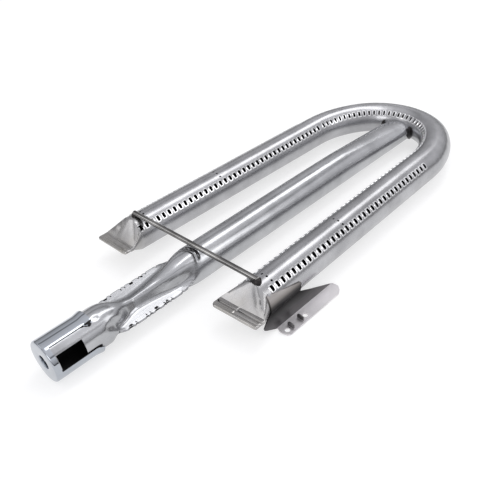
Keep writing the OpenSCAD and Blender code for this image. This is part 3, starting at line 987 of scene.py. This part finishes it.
class BURNER_OT_mixer(bpy.types.Operator):
    """Mixer tube with its pressed throat and air windows"""

    bl_idname = "burner.mixer"
    bl_label = "Mixer tube"

    def execute(self, context):
        colours = context.scene.burner_colours
        skin = steel("pressed_mixer_steel", colours.mixer, 0.22, scale=1200, blotch=0.18)
        # The mixer's inside finish is near-black as painted shade within the tube.
        inside = steel("painted_shade_mixer_inside", colours.inside, 0.6, scale=1200, blotch=0.3)
        mixer = build_mixer(context.scene.burner_sizes, skin, inside)
        finish_piece(mixer, BURNER, None, "mixer_steel", "mixer_tube")
        return {"FINISHED"}


class BURNER_OT_shutter(bpy.types.Operator):
    """Turning air shutter with two notches and flared tongues"""

    bl_idname = "burner.shutter"
    bl_label = "Air shutter"

    def execute(self, context):
        colours = context.scene.burner_colours
        skin = steel("bright_shutter_steel", colours.shutter, 0.1, scale=1500, blotch=0.08, bump=0.04)
        # Near-black finish for the shutter's cut edges and inner face, as painted shade.
        edge = steel("shutter_painted_shade_edge", colours.inside, 0.4, scale=1500, blotch=0.3)
        shutter = build_shutter(context.scene.burner_sizes, skin, edge)
        finish_piece(shutter, SHUTTER, None, "shutter_steel", "air_shutter")
        return {"FINISHED"}


class BURNER_OT_rod(bpy.types.Operator):
    """Brace rod across the two legs, with the welds at its ends"""

    bl_idname = "burner.rod"
    bl_label = "Brace rod and welds"

    def execute(self, context):
        look = context.scene.burner_sizes
        colours = context.scene.burner_colours
        rod = build_rod(look)
        # Painted light and shade on the rod by height: dark below its middle, a painted highlight band above
        # it and a dark painted line along its top.
        rod_painted_shading = [(ROD_Z + height, (grey, grey, grey)) for height, grey in
                ((-2.4, 0.12), (-0.4, 0.35), (0.6, 0.5), (1.4, 1), (2.0, 1), (2.35, 0.3))]
        rod_painted_shading_steel = steel("rod_steel", colours.rod, 0.16, streak=(0.03, 1, 1), blotch=0.5, bands=rod_painted_shading)
        finish_piece(rod, BURNER, rod_painted_shading_steel, "rod_steel", "brace_rod")
        burnt = steel("burnt_weld", colours.weld, 0.42, streak=(1, 1, 1), scale=700, blotch=0.6, bump=0.5)
        for side, name, drop, size in ((1, "right", 1.6, 7.6), (-1, "left", 2.4, 6.4)):
            spot = Vector((side * 73.6, ROD_Y - 0.3, ROD_Z - drop))
            weld = build_weld("rod_weld_ball_" + name, spot, size, (1.0, 0.95, 0.85), 1.0 + side)
            finish_piece(weld, BURNER, burnt, "weld", "rod_weld_" + name)
        paint_node("mixer_weld_beads", burnt)
        tack = steel("tack_weld", colours.tube, 0.35, streak=(1, 1, 1), scale=700, bump=0.3)
        paint_node("bracket_tack_welds", tack)
        return {"FINISHED"}


class BURNER_OT_bracket(bpy.types.Operator):
    """Folded igniter bracket with its two holes and tabs"""

    bl_idname = "burner.bracket"
    bl_label = "Igniter bracket"

    def execute(self, context):
        bracket = build_bracket(context.scene.burner_sizes)
        # Painted shade by height: the flange keeps its colour, the plate is darkened, and the leaf under the
        # tube is nearly black, growing lighter towards its top as painted light.
        painted_shading = [(-17.0, (1, 1, 1)), (-16.6, (0.26, 0.26, 0.26)), (-10.0, (0.15, 0.15, 0.15)),
                (-5.0, (0.05, 0.05, 0.05)), (0.0, (0.03, 0.03, 0.03)), (3.0, (0.13, 0.125, 0.12)),
                (6.0, (0.40, 0.385, 0.36)), (9.5, (0.72, 0.70, 0.67))]
        material = steel("folded_bracket_steel", context.scene.burner_colours.bracket, 0.44,
                         blotch=0.15, scale=1000, bands=painted_shading)
        finish_piece(bracket, BURNER, material, "bracket_steel", "igniter_bracket")
        return {"FINISHED"}


class BURNER_OT_stage(bpy.types.Operator):
    """Pale floor, banded studio surroundings, lamps and the camera"""

    bl_idname = "burner.stage"
    bl_label = "Stage"

    def execute(self, context):
        scene = context.scene
        scene.view_settings.view_transform = "Standard"
        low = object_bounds()[0][2]
        bpy.ops.object.select_all(action="DESELECT")
        bpy.ops.mesh.primitive_plane_add(size=14, location=(0, 0.2, low - 0.0005))
        floor = named("stage_floor")
        plain = bpy.data.materials.new("pale_floor")
        plain.use_nodes = True
        shader = plain.node_tree.nodes["Principled BSDF"]
        shader.inputs["Base Color"].default_value = (*scene.burner_colours.floor, 1)
        shader.inputs["Roughness"].default_value = 0.9
        shader.inputs["Specular IOR Level"].default_value = 0.0
        shader.inputs["Emission Color"].default_value = (1, 1, 1, 1)
        shader.inputs["Emission Strength"].default_value = 0.58
        floor.data.materials.append(plain)
        floor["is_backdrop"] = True

        world = bpy.data.worlds.new("studio")
        scene.world = world
        world.use_nodes = True
        tree = world.node_tree
        tree.nodes.clear()
        out = node(tree, "ShaderNodeOutputWorld", 600, 0)
        sky = node(tree, "ShaderNodeBackground", 400, 0)
        ramp = node(tree, "ShaderNodeValToRGB", 100, 0)
        split = node(tree, "ShaderNodeSeparateXYZ", -100, 0)
        place = node(tree, "ShaderNodeTexCoord", -300, 0)
        tree.links.new(place.outputs["Generated"], split.inputs["Vector"])
        tree.links.new(split.outputs["Z"], ramp.inputs["Fac"])
        tree.links.new(ramp.outputs["Color"], sky.inputs["Color"])
        tree.links.new(sky.outputs["Background"], out.inputs["Surface"])
        bands = ramp.color_ramp
        bands.elements[0].position = 0.0
        bands.elements[0].color = (0.03, 0.03, 0.033, 1)
        bands.elements[1].position = 1.0
        bands.elements[1].color = (1.0, 1.0, 1.03, 1)
        greys = ((0.07, 0.05), (0.12, 0.5), (0.35, 0.75), (0.59, 1.05),
                 (0.64, 0.25), (0.69, 0.3), (0.73, 0.95))
        for position, grey in greys:
            element = bands.elements.new(position)
            element.color = (grey, grey, grey * 1.03, 1)
        side = node(tree, "ShaderNodeMapRange", 100, 300)
        side.inputs["From Min"].default_value = -0.75
        side.inputs["From Max"].default_value = 0.1
        side.inputs["To Min"].default_value = 0.72
        side.inputs["To Max"].default_value = 1.0
        tree.links.new(split.outputs["X"], side.inputs["Value"])
        tree.links.new(side.outputs["Result"], sky.inputs["Strength"])

        def lamp(name, spot, aim, size, radiance):
            """A rectangular lamp at a spot, turned to its aim, with the same radiance at any size."""
            data = bpy.data.lights.new(name, "AREA")
            data.shape = "RECTANGLE"
            data.size, data.size_y = size
            data.energy = radiance * math.pi * size[0] * size[1]
            obj = bpy.data.objects.new(name, data)
            scene.collection.objects.link(obj)
            obj.location = spot
            toward = Vector(aim) - Vector(spot)
            obj.rotation_euler = toward.to_track_quat("-Z", "Y").to_euler()

        lamp("key_strip", (-0.16, 1.13, 1.7), (0, 0.2, 0), (0.46, 1.9), 2.5)
        lamp("side_strip", (1.3, 1.1, 1.15), (0, 0.2, 0), (0.4, 1.2), 1.8)
        lamp("front_strip", (0.62, -1.3, 0.72), (0, 0.2, 0), (0.9, 0.5), 2.6)
        lamp("left_front", (-1.15, -1.15, 1.0), (0, 0.15, 0), (0.8, 0.6), 1.1)

        eye = bpy.data.cameras.new("camera")
        eye.lens = scene.burner_stage.lens
        eye.clip_start = 0.01
        camera = bpy.data.objects.new("camera", eye)
        scene.collection.objects.link(camera)
        camera.location = (0.3183, -0.0976, 0.3042)
        camera.rotation_euler = [math.radians(a) for a in (54.178, 4.4526, 43.910)]
        scene.camera = camera
        return {"FINISHED"}


class BurnerStage(bpy.types.PropertyGroup):
    """The camera's lens."""

    lens: FloatProperty(name="Lens", description="Focal length of the camera, mm", default=45.106)


STEPS = ("tube", "mixer", "shutter", "rod", "bracket", "stage")


class BURNER_PT_panel(bpy.types.Panel):
    """Lists the burner's pieces and their sizes and colours"""

    bl_idname = "BURNER_PT_panel"
    bl_label = "Burner"
    bl_space_type = "VIEW_3D"
    bl_region_type = "UI"
    bl_category = "Burner"

    def draw(self, context):
        for name in STEPS:
            self.layout.operator("burner." + name)
        scene = context.scene
        for group in (scene.burner_sizes, scene.burner_colours, scene.burner_stage):
            box = self.layout.box()
            for key in group.bl_rna.properties.keys():
                if key not in ("rna_type", "name"):
                    box.prop(group, key)


CLASSES = (
    BurnerSizes, BurnerColours, BurnerStage,
    BURNER_OT_tube, BURNER_OT_mixer, BURNER_OT_shutter, BURNER_OT_rod, BURNER_OT_bracket,
    BURNER_OT_stage, BURNER_PT_panel,
)


def register():
    for kind in CLASSES:
        bpy.utils.register_class(kind)
    bpy.types.Scene.burner_sizes = PointerProperty(type=BurnerSizes)
    bpy.types.Scene.burner_colours = PointerProperty(type=BurnerColours)
    bpy.types.Scene.burner_stage = PointerProperty(type=BurnerStage)


def unregister():
    del bpy.types.Scene.burner_stage
    del bpy.types.Scene.burner_colours
    del bpy.types.Scene.burner_sizes
    for kind in reversed(CLASSES):
        bpy.utils.unregister_class(kind)


def main():
    bpy.ops.object.select_all(action="DESELECT")
    register()
    for name in STEPS:
        getattr(bpy.ops.burner, name)()
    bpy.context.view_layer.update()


if __name__ == "__main__":
    main()
